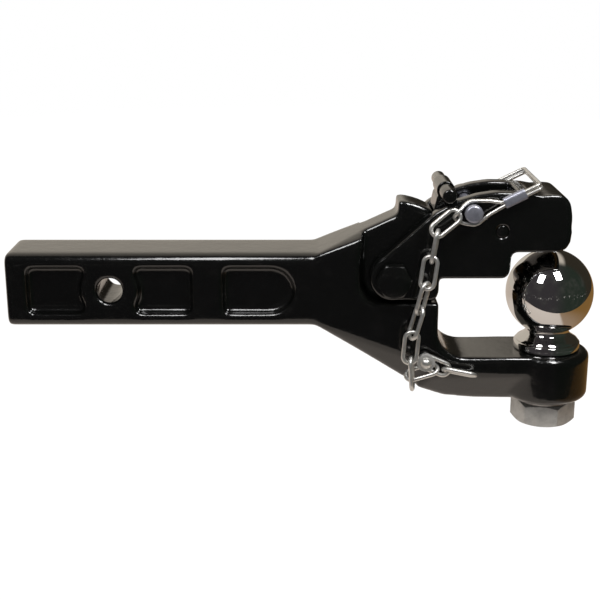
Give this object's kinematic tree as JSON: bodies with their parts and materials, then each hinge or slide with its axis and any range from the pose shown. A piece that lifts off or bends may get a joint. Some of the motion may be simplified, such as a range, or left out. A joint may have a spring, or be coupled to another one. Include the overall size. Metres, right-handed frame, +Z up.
{
  "type": "pintle hook",
  "caption": "Receiver-mount forged pintle hook with a hinged latching upper jaw, tow ball, wire-bail lock pin and retaining chain.",
  "frame": {"origin": "centre of the hitch-pin hole, on the centreline of the square receiver shank", "axes": "+X along the shank towards the tow ball, +Y along the hitch-pin hole away from the chain side, +Z up"},
  "size_m": [0.3929, 0.0768, 0.1721],
  "materials": {
    "black_paint": "gloss black paint over a forged surface",
    "chrome": "polished chrome",
    "zinc": "bright zinc plating",
    "spring_steel": "dull steel"
  },
  "bodies": {
    "hook_body": {"hook_body": "black_paint", "hitch_ball": "chrome", "ball_washer": "spring_steel", "ball_nut": "zinc", "pivot_bolt": "black_paint", "pivot_nut": "black_paint", "chain_rivet": "zinc", "chain_washer": "zinc", "chain_link_01": "zinc", "chain_link_02": "zinc", "chain_link_03": "zinc", "chain_link_04": "zinc", "chain_link_05": "zinc", "chain_link_06": "zinc", "chain_link_07": "zinc", "chain_link_08": "zinc", "chain_link_09": "zinc", "chain_link_10": "zinc"},
    "upper_jaw": {"upper_jaw": "black_paint", "latch_pin": "black_paint", "latch_spring": "spring_steel"},
    "latch": {"latch": "black_paint", "latch_handle": "black_paint"},
    "lock_pin": {"lock_pin": "zinc"},
    "wire_bail": {"wire_bail": "zinc", "wire_sleeve": "zinc"}
  },
  "joints": [
    {"name": "jaw_open", "type": "hinge", "parent": "hook_body", "child": "upper_jaw", "pos_m": [0.187, 0, 0.0085], "axis": [0, -1, 0], "range_deg": [0, 55], "deforming": ["chain_link_01", "chain_link_02", "chain_link_03", "chain_link_04", "chain_link_05", "chain_link_06", "chain_link_07", "chain_link_08", "chain_link_09", "chain_link_10"]},
    {"name": "latch_lift", "type": "hinge", "parent": "upper_jaw", "child": "latch", "pos_m": [0.257, 0, 0.04], "axis": [0, 1, 0], "range_deg": [0, 25], "deforming": ["latch_spring"]},
    {"name": "lock_pin_draw", "type": "slide", "parent": "upper_jaw", "child": "lock_pin", "axis": [0, -1, 0], "range_m": [0, 0.062], "deforming": ["chain_link_01", "chain_link_02", "chain_link_03", "wire_bail"]},
    {"name": "bail_swing", "type": "hinge", "parent": "lock_pin", "child": "wire_bail", "pos_m": [0.2367, 0, 0.0538], "axis": [0, -1, 0], "range_deg": [0, 40], "deforming": ["chain_link_01"]}
  ],
  "couplings": [
    {"joint": "latch_lift", "follows": "jaw_open", "ratio": 0.45}
  ]
}
